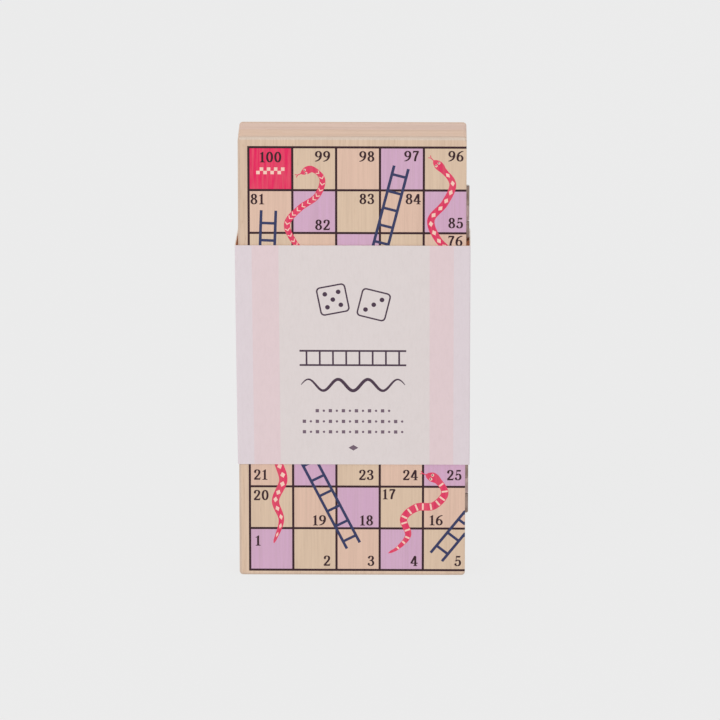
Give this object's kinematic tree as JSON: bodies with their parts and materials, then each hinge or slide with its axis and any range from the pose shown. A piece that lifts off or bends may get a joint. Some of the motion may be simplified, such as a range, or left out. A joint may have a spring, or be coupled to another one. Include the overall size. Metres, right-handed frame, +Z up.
{
  "type": "snakes and ladders board",
  "caption": "Folding wooden snakes and ladders board that shuts into a slim case, with side hinges, a card sleeve, and pawns and a die stored inside.",
  "frame": {"origin": "centre of the bottom end of the closed case, on the surface it stands on", "axes": "+Z up along the case's long side, -Y out of the printed front half, +X towards the hinges"},
  "size_m": [0.1034, 0.0314, 0.2],
  "materials": {
    "printed_wood": "matte",
    "bare_wood": "matte",
    "hinge_brass": "satin",
    "pin_steel": "satin",
    "magnet_plate": "polished",
    "sleeve_card": "satin",
    "paint_navy": "satin",
    "paint_pink": "satin",
    "paint_lilac": "satin",
    "paint_peach": "satin",
    "die_wood": "satin"
  },
  "bodies": {
    "front_half": {"front_panel": "printed_wood", "front_top_rail": "bare_wood", "front_bottom_rail": "bare_wood", "front_hinge_stile": "bare_wood", "front_opening_stile": "bare_wood", "upper_hinge_front_leaf": "hinge_brass", "lower_hinge_front_leaf": "hinge_brass", "upper_hinge_pin": "pin_steel", "lower_hinge_pin": "pin_steel", "front_hinge_screws": "hinge_brass", "front_magnets": "magnet_plate"},
    "back_half": {"back_panel": "printed_wood", "back_top_rail": "bare_wood", "back_bottom_rail": "bare_wood", "back_hinge_stile": "bare_wood", "back_opening_stile": "bare_wood", "upper_hinge_back_leaf": "hinge_brass", "lower_hinge_back_leaf": "hinge_brass", "back_hinge_screws": "hinge_brass", "back_magnets": "magnet_plate"},
    "card_sleeve": {"sleeve": "sleeve_card"},
    "navy_piece": {"pawn_navy": "paint_navy"},
    "pink_piece": {"pawn_pink": "paint_pink"},
    "lilac_piece": {"pawn_lilac": "paint_lilac"},
    "peach_piece": {"pawn_peach": "paint_peach"},
    "die_piece": {"die": "die_wood"}
  },
  "joints": [
    {"name": "case_hinge", "type": "hinge", "parent": "front_half", "child": "back_half", "pos_m": [0.0501, 0, 0], "axis": [0, 0, -1], "range_deg": [0, 180], "deforming": ["sleeve"]},
    {"name": "sleeve_slide", "type": "slide", "parent": "front_half", "child": "card_sleeve", "axis": [0, 0, 1], "range_m": [-0.05, 0.15]},
    {"name": "navy_lift", "type": "slide", "parent": "front_half", "child": "navy_piece", "axis": [0, 0, 1], "range_m": [0, 0.161]},
    {"name": "pink_lift", "type": "slide", "parent": "front_half", "child": "pink_piece", "axis": [0, 0, 1], "range_m": [0, 0.161]},
    {"name": "lilac_lift", "type": "slide", "parent": "front_half", "child": "lilac_piece", "axis": [0, 0, 1], "range_m": [0, 0.161]},
    {"name": "peach_lift", "type": "slide", "parent": "front_half", "child": "peach_piece", "axis": [0, 0, 1], "range_m": [0, 0.161]},
    {"name": "die_lift", "type": "slide", "parent": "front_half", "child": "die_piece", "axis": [0, 0, 1], "range_m": [0, 0.173]}
  ]
}
